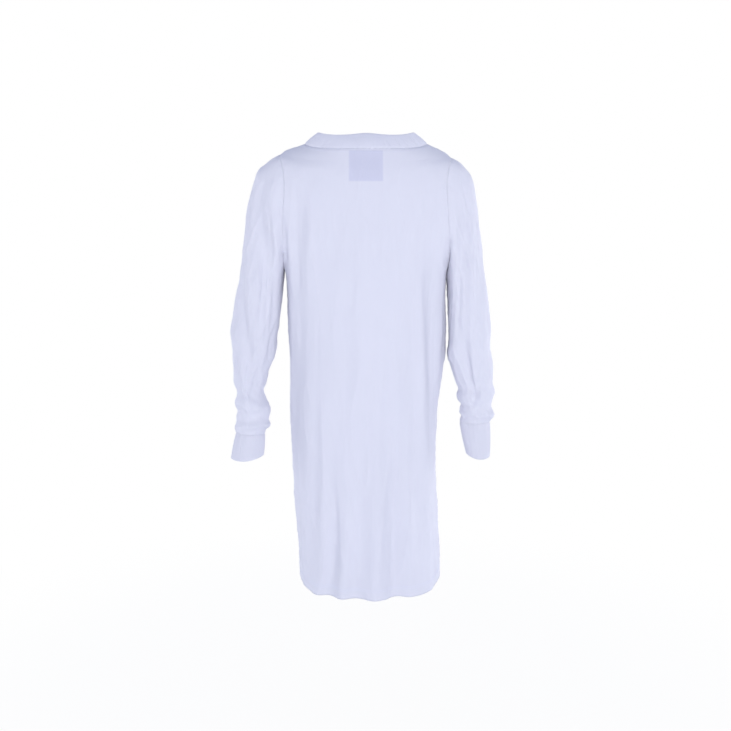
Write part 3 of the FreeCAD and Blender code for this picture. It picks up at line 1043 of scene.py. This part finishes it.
def band_top(base):
    """The upper edge of the neckband, which leans in and stands up."""
    centre = base.mean(axis=0)
    inward = centre - base
    inward[:, 2] = 0
    inward /= np.linalg.norm(inward, axis=1, keepdims=True)
    side = np.abs(inward[:, 0])
    front = smooth_step(-0.3, 0.8, -inward[:, 1])
    lean = 0.50 + 0.19 * side - 0.14 * front
    rise = np.sqrt(1 - lean ** 2)
    height = sizes().band_height * (1.05 - 0.05 * side)
    top = base + (inward * lean[:, None] + np.array([0, 0, 1.0]) * rise[:, None]) * height[:, None]
    reach = round(len(base) * 0.022)
    for _ in range(3):
        top = sum(np.roll(top, k, axis=0) for k in range(-reach, reach + 1)) / (2 * reach + 1)
    return top


class GOWN_OT_neckband(bpy.types.Operator):
    """Fold the ribbed neckband round the neckline"""
    bl_idname = "gown.neckband"
    bl_label = "Neckband"

    def execute(self, context):
        line = laid["lines"]["neckline"]
        length = np.linalg.norm(np.roll(line, -1, axis=0) - line, axis=1).sum()
        ribs = round(length / sizes().rib_pitch)
        base = evenly(line, ribs * 6)
        top = band_top(base)
        laid["band"] = (base, top)
        # Painted light: the rib is the same jersey made 3% lighter, to make up for the shade that the
        # standing band falls in.
        material = cloth_material("Rib", shade(tuple(colours().jersey), 1.03), 460, 30, 0.2)
        piece = rib_piece("neckband_rib", base, top, material, ribs)
        finish_piece(piece, "neckband", "torso")
        return {"FINISHED"}


CUFF_RIBS = 72
# Cuff openings: outer edge x and z, inner edge x and z, half depth
CUFF_FORM = {
    "right": (0.2870, -0.706, 0.2345, -0.701, 0.029),
    "left": (0.3105, -0.711, 0.2370, -0.704, 0.031),
}


def cuff_ring(side, count):
    """The open end of a cuff, from its outer edge round its back."""
    outer_x, outer_z, inner_x, inner_z, depth = CUFF_FORM[side]
    angles = np.arange(count) * 2 * math.pi / count
    x = (outer_x + inner_x) / 2 + (outer_x - inner_x) / 2 * np.cos(angles)
    z = (outer_z + inner_z) / 2 + (outer_z - inner_z) / 2 * np.cos(angles)
    z -= 0.006 * np.sin(angles) ** 2
    return np.column_stack([SIDES[side] * x, SLEEVE_MIDDLE_Y - depth * np.sin(angles), z])


class GOWN_OT_cuffs(bpy.types.Operator):
    """Fold the ribbed cuffs below the sleeves"""
    bl_idname = "gown.cuffs"
    bl_label = "Cuffs"

    def execute(self, context):
        material = cloth_material("Cuff Rib", shade(tuple(colours().jersey), 0.975), 150, 90, 0.2)
        for side in SIDES:
            base = evenly(laid["lines"][side + "_cuff"], CUFF_RIBS * 6)
            top = evenly(cuff_ring(side, 90), CUFF_RIBS * 6)
            piece = rib_piece(side + "_cuff_rib", base, top, material, CUFF_RIBS, rise=16)
            finish_piece(piece, side + "_cuff", side + "_sleeve")
        return {"FINISHED"}


# ---------------------------------------------------------------- threads, seams, tape and label

def strands_mesh(name, strands, radius, material):
    """One mesh of many short round threads."""
    curve = bpy.data.curves.new(name + "_line", "CURVE")
    curve.dimensions = "3D"
    curve.bevel_depth = radius
    curve.bevel_resolution = 1
    curve.use_fill_caps = True
    for points in strands:
        spline = curve.splines.new("POLY")
        spline.points.add(len(points) - 1)
        spline.points.foreach_set("co", np.column_stack([points, np.ones(len(points))]).ravel())
    line = bpy.data.objects.new(name + "_line", curve)
    bpy.context.scene.collection.objects.link(line)
    mesh = bpy.data.meshes.new_from_object(line.evaluated_get(bpy.context.evaluated_depsgraph_get()))
    bpy.data.objects.remove(line)
    bpy.data.curves.remove(curve)
    bm = bmesh.new()
    bm.from_mesh(mesh)
    bpy.data.meshes.remove(mesh)
    outward(bm)
    return new_object(name, bm, material)


def on_cloth(point, height):
    """The cloth's nearest place to a point, raised by height, or sunk where height is below 0."""
    place, normal, _, _ = laid["surface"].find_nearest(Vector(point))
    return np.array(place + normal * height), np.array(normal)


def across_cloth(point, ahead):
    """The way that lies in the cloth at a point, at right angles to ahead."""
    across = np.cross(ahead, on_cloth(point, 0)[1])
    return across / max(np.linalg.norm(across), 1e-9)


# Where a stitch's points lie along it, and how high
STITCH_ARCH = ((0.10, -0.0006), (0.24, 0.0002), (0.52, 0.0003), (0.78, 0.0002), (0.92, -0.0006))


def stitch_rows(path, closed, offsets, height=0.0001):
    """Short arched stitches along a path, in rows that lie offsets away from it across the cloth."""
    step = sizes().stitch
    line = resample(path, step, closed)
    made = []
    count = len(line) if closed else len(line) - 1
    for k in range(count):
        ahead = line[(k + 1) % len(line)] - line[k]
        for number, offset in enumerate(offsets):
            strand = []
            for share, arch in STITCH_ARCH:
                share = (share + 0.5 * number) if closed else share
                point = line[k] + ahead * share
                strand.append(on_cloth(point + across_cloth(point, ahead) * offset, height + arch)[0])
            made.append(np.array(strand))
    return made


def ribbon(name, path, closed, start, width, depth, material, thick=0.0008):
    """A strip of cloth along a path on the inside, from start to start + width across."""
    line = resample(path, 0.0045, closed)
    count = len(line)
    columns = 3
    points = np.zeros((count + 1 if closed else count, columns + 1, 3))
    for k in range(count):
        after = (k + 1) % count if closed else min(k + 1, count - 1)
        before = k - 1 if closed else max(k - 1, 0)
        across = across_cloth(line[k], line[after] - line[before])
        for j in range(columns + 1):
            place = line[k] + across * (start + width * j / columns)
            points[k, j] = on_cloth(place, -depth)[0]
    if closed:
        points[-1] = points[0]
    bm = grid_of(points)
    bmesh.ops.remove_doubles(bm, verts=bm.verts, dist=1e-6)
    piece = new_object(name, bm, material)
    wall(piece, thick, offset=0.0)
    return piece


def overlock_strands(path, closed, start, width, depth):
    """The zigzag thread that binds the edge of a seam on the inside."""
    step = 0.0022
    line = resample(path, step / 2, closed)
    strand = []
    for k in range(len(line) - 1):
        across = across_cloth(line[k], line[k + 1] - line[k])
        side = start + (0.08 if k % 2 else 0.96) * width
        strand.append(on_cloth(line[k] + across * side, -depth)[0])
    strand = np.array(strand)
    return [strand, strand[::2]]


def join_pieces(first, *others):
    """Joins other pieces into the first."""
    bm = bmesh.new()
    bm.from_mesh(first.data)
    for other in others:
        for material in other.data.materials:
            if material.name not in [m.name for m in first.data.materials]:
                first.data.materials.append(material)
        offset = [m.name for m in first.data.materials].index(other.data.materials[0].name)
        before = len(bm.faces)
        bm.from_mesh(other.data)
        bm.faces.ensure_lookup_table()
        for face in bm.faces[before:]:
            face.material_index = offset
        bpy.data.objects.remove(other)
    bm.to_mesh(first.data)
    bm.free()
    return first


def overlocked_seam(name, node_name, path, closed=False, start=0.0004, width=0.0065, side=None,
                    rides="torso"):
    """A seam allowance inside the cloth with its overlock thread."""
    material = cloth_material("Seam Allowance", shade(tuple(colours().jersey), 0.97), 30, 500, 0.25)
    strip = ribbon(name + "_strip", path, closed, start, width, 0.0020, material)
    threads = strands_mesh(name + "_thread", overlock_strands(path, closed, start, width, 0.0027), 0.00022,
                           thread_material())
    piece = join_pieces(strip, threads)
    piece.name = name
    finish_piece(piece, node_name, None if side else rides)
    if side:
        swing(piece)
    return piece


class GOWN_OT_seams(bpy.types.Operator):
    """Overlock every seam on the inside"""
    bl_idname = "gown.seams"
    bl_label = "Overlocked Seams"

    def execute(self, context):
        lines = laid["lines"]
        overlocked_seam("neckband_overlock", "neckband_seam", lines["neckline"], closed=True, start=0.001)
        for side in SIDES:
            overlocked_seam(side + "_shoulder_overlock", side + "_shoulder_seam", lines[side + "_shoulder"])
            overlocked_seam(side + "_side_overlock", side + "_side_seam", lines[side + "_side"])
            overlocked_seam(side + "_armhole_overlock", side + "_armhole_seam", lines[side + "_armhole"],
                            closed=True)
            overlocked_seam(side + "_sleeve_overlock", side + "_sleeve_seam", lines[side + "_underarm"],
                            side=side)
            overlocked_seam(side + "_cuff_overlock", side + "_cuff_seam", lines[side + "_cuff"],
                            closed=True, start=-0.0075, rides=side + "_sleeve")
        return {"FINISHED"}


def back_run(line, half_width):
    """The part of the neckline that runs across the back, from one shoulder to the other."""
    keep = (line[:, 1] < -0.02) & (np.abs(line[:, 0]) < half_width)
    part = line[keep]
    return part[np.argsort(part[:, 0])]


class GOWN_OT_tape(bpy.types.Operator):
    """Lay the neck tape and the woven label inside the back neck"""
    bl_idname = "gown.tape"
    bl_label = "Tape and Label"

    def execute(self, context):
        run = back_run(laid["lines"]["neckline"], 0.128)
        material = cloth_material("Tape", tuple(colours().tape), 500, 16, 0.5)
        laying = (False, 0.0015, sizes().tape, 0.0034, material, 0.0006)
        tape = ribbon("neck_tape_twill", run, *laying)
        if np.mean([vert.co.z for vert in tape.data.vertices]) > run[:, 2].mean():
            bpy.data.objects.remove(tape)
            tape = ribbon("neck_tape_twill", run[::-1], *laying)
        finish_piece(tape, "neck_tape", "torso")

        across, along = 30, 26
        points = np.zeros((across + 1, along + 1, 3))
        for i in range(across + 1):
            for j in range(along + 1):
                x = LABEL_X + LABEL_HALF * (2 * i / across - 1)
                z = LABEL_TOP - LABEL_HEIGHT * j / along
                ripple = 0.0006 * math.sin(i * 0.7) * (j / along)
                points[i, j] = on_cloth((x, BACK_Y, z), -0.0046 - ripple)[0]
        material = cloth_material("Label", tuple(colours().label), 300, 260, 0.3)
        label = new_object("neck_label_woven", grid_of(points), material)
        wall(label, 0.0005, offset=0.0)
        stitches = strands_mesh("label_stitches", self.label_edges(), sizes().thread / 2, thread_material())
        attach(stitches, "torso")
        finish_piece(label, "neck_label", "torso")
        return {"FINISHED"}

    def label_edges(self):
        """Stitches round the label, a little inside its edge."""
        half, top = LABEL_HALF - LABEL_INSET, LABEL_TOP - LABEL_INSET
        corners = [(LABEL_X + half * a, top - (LABEL_HEIGHT - 2 * LABEL_INSET) * b)
                   for a, b in ((-1, 0), (1, 0), (1, 1), (-1, 1))]
        edges = []
        for (x0, z0), (x1, z1) in zip(corners, corners[1:] + corners[:1]):
            count = round(math.hypot(x1 - x0, z1 - z0) / sizes().stitch)
            for s in range(count):
                strand = []
                for share, arch in ((0.15, 0.0002), (0.35, -0.0003), (0.65, -0.0003), (0.85, 0.0002)):
                    t = (s + share) / count
                    place = (x0 + (x1 - x0) * t, BACK_Y, z0 + (z1 - z0) * t)
                    strand.append(on_cloth(place, -0.0048 + arch)[0])
                edges.append(np.array(strand))
        return edges


class GOWN_OT_stitching(bpy.types.Operator):
    """Sew the twin rows under the neckband and above the hem"""
    bl_idname = "gown.stitching"
    bl_label = "Neck and Hem Stitching"

    def execute(self, context):
        line = laid["lines"]["neckline"]
        neck = stitch_rows(line, True, self.rows_below(line, (0.0025, 0.0095)))
        piece = strands_mesh("neck_stitches", neck, sizes().thread / 2, thread_material())
        finish_piece(piece, "neck_thread", "torso")
        hem = laid["lines"]["hem"].copy()
        hem[:, 2] += sizes().hem_turn
        hem = np.array([on_cloth(point, 0)[0] for point in hem])
        piece = strands_mesh("hem_stitches", stitch_rows(hem, True, (0.0, 0.0045)), sizes().thread / 2,
                             thread_material())
        finish_piece(piece, "hem_thread", "torso")
        return {"FINISHED"}

    def rows_below(self, line, offsets):
        """The rows' offsets with the sign that puts them below the line."""
        _, normal = on_cloth(line[0], 0)
        across = np.cross(line[1] - line[0], normal)
        return [offset if across[2] < 0 else -offset for offset in offsets]


# ---------------------------------------------------------------- stage

# Name, place, what it points at, width and power in watts
LAMPS = [
    ("Key", (0.9, -4.0, -0.8), (0, 0, -0.7), 2.6, 76),
    ("Side_Left", (-3.3, -1.7, -0.7), (0, 0, -0.6), 2.4, 9),
    ("Fill_Left", (-2.8, 1.5, -0.7), (0, 0, -0.6), 2.2, 30),
    ("Fill_Right", (2.8, 1.7, -0.5), (0, 0, -0.6), 2.2, 42),
    ("Fill_Front", (-0.8, 4.2, 0.3), (0, 0, -0.5), 3.0, 16),
]
CAMERA_PLACE = (0, -2.266, -0.1889)
CAMERA_LENS = 49.05
CAMERA_DOWN = 7.75


class GOWN_OT_stage(bpy.types.Operator):
    """Set the floor, the lamps, the surroundings and the camera"""
    bl_idname = "gown.stage"
    bl_label = "Stage"

    def execute(self, context):
        scene = context.scene
        scene.view_settings.view_transform = "Standard"
        self.floor()
        self.surroundings(scene)
        for lamp in LAMPS:
            self.lamp(*lamp)
        camera = bpy.data.cameras.new("Camera")
        camera.lens = CAMERA_LENS
        camera.sensor_width = 36
        eye = bpy.data.objects.new("Camera", camera)
        eye.location = CAMERA_PLACE
        eye.rotation_euler = (math.radians(90 - CAMERA_DOWN), 0, 0)
        scene.collection.objects.link(eye)
        scene.camera = eye
        return {"FINISHED"}

    def floor(self):
        bm = bmesh.new()
        bmesh.ops.create_circle(bm, cap_ends=True, radius=9, segments=64)
        bmesh.ops.translate(bm, verts=bm.verts, vec=(0, 0, HEM_Z - 0.30))
        material = bpy.data.materials.new("Pale Floor")
        material.use_nodes = True
        tree = material.node_tree
        shader = tree.nodes["Principled BSDF"]
        shader.inputs["Roughness"].default_value = 0.85
        place = node(tree, "ShaderNodeTexCoord")
        cloud = node(tree, "ShaderNodeTexNoise")
        cloud.inputs["Scale"].default_value = 3
        tree.links.new(place.outputs["Object"], cloud.inputs["Vector"])
        tree.links.new(mix_colours(tree, cloud.outputs[0], (0.90, 0.91, 0.93), (0.94, 0.95, 0.97)),
                       shader.inputs["Base Color"])
        white = node(tree, "ShaderNodeEmission")
        seen = seen_directly(tree)
        mix = node(tree, "ShaderNodeMixShader")
        parts = node(tree, "ShaderNodeVectorMath", operation="LENGTH")
        tree.links.new(place.outputs["Object"], parts.inputs[0])
        far = node(tree, "ShaderNodeMapRange", interpolation_type="SMOOTHSTEP")
        set_inputs(far, From_Min=1.35, From_Max=2.0, To_Min=0.93, To_Max=1.0)
        tree.links.new(parts.outputs["Value"], far.inputs["Value"])
        tree.links.new(math_node(tree, "MULTIPLY", seen, far.outputs[0]), mix.inputs[0])
        tree.links.new(shader.outputs[0], mix.inputs[1])
        tree.links.new(white.outputs[0], mix.inputs[2])
        tree.links.new(mix.outputs[0], tree.nodes["Material Output"].inputs["Surface"])
        new_object("floor", bm, material)

    def surroundings(self, scene):
        world = bpy.data.worlds.new("Studio")
        world.use_nodes = True
        scene.world = world
        tree = world.node_tree
        plain = tree.nodes["Background"]
        plain.inputs["Strength"].default_value = 1.0
        place = node(tree, "ShaderNodeTexCoord")
        parts = node(tree, "ShaderNodeSeparateXYZ")
        tree.links.new(place.outputs["Generated"], parts.inputs[0])
        high = node(tree, "ShaderNodeMapRange")
        set_inputs(high, From_Min=-0.1, From_Max=0.9)
        tree.links.new(parts.outputs["Z"], high.inputs["Value"])
        tree.links.new(mix_colours(tree, high.outputs[0], (0.97, 0.97, 1.0), (0.28, 0.34, 0.54)),
                       plain.inputs["Color"])
        white = node(tree, "ShaderNodeBackground")
        white.inputs["Color"].default_value = (1, 1, 1, 1)
        seen = seen_directly(tree)
        mix = node(tree, "ShaderNodeMixShader")
        tree.links.new(seen, mix.inputs[0])
        tree.links.new(plain.outputs[0], mix.inputs[1])
        tree.links.new(white.outputs[0], mix.inputs[2])
        tree.links.new(mix.outputs[0], tree.nodes["World Output"].inputs["Surface"])

    def lamp(self, name, place, target, size, energy):
        data = bpy.data.lights.new(name, "AREA")
        data.size = size
        data.energy = energy
        lamp = bpy.data.objects.new(name, data)
        lamp.location = place
        lamp.rotation_euler = (Vector(target) - Vector(place)).to_track_quat("-Z", "Y").to_euler()
        bpy.context.scene.collection.objects.link(lamp)


# ---------------------------------------------------------------- panel and main

class GOWN_PT_sidebar(bpy.types.Panel):
    """Lists the steps of the gown in the order that they are made"""
    bl_idname = "GOWN_PT_sidebar"
    bl_label = "Patient Gown"
    bl_space_type = "VIEW_3D"
    bl_region_type = "UI"
    bl_category = "Gown"

    def draw(self, context):
        for settings in (context.scene.gown_sizes, context.scene.gown_colours):
            box = self.layout.box()
            for name in settings.bl_rna.properties.keys():
                if name not in ("rna_type", "name"):
                    box.prop(settings, name)
        for step in STEPS:
            self.layout.operator(step.bl_idname)


STEPS = (GOWN_OT_cloth, GOWN_OT_neckband, GOWN_OT_panels, GOWN_OT_cuffs, GOWN_OT_sleeves, GOWN_OT_seams,
         GOWN_OT_tape, GOWN_OT_stitching, GOWN_OT_stage)
CLASSES = (GownSizes, GownColours, *STEPS, GOWN_PT_sidebar)


def register():
    for cls in CLASSES:
        bpy.utils.register_class(cls)
    bpy.types.Scene.gown_sizes = PointerProperty(type=GownSizes)
    bpy.types.Scene.gown_colours = PointerProperty(type=GownColours)


def unregister():
    del bpy.types.Scene.gown_colours
    del bpy.types.Scene.gown_sizes
    for cls in reversed(CLASSES):
        bpy.utils.unregister_class(cls)


def main():
    register()
    bpy.ops.gown.cloth()
    bpy.ops.gown.neckband()
    bpy.ops.gown.panels()
    bpy.ops.gown.cuffs()
    bpy.ops.gown.sleeves()
    bpy.ops.gown.seams()
    bpy.ops.gown.tape()
    bpy.ops.gown.stitching()
    bpy.ops.gown.stage()


if __name__ == "__main__":
    main()
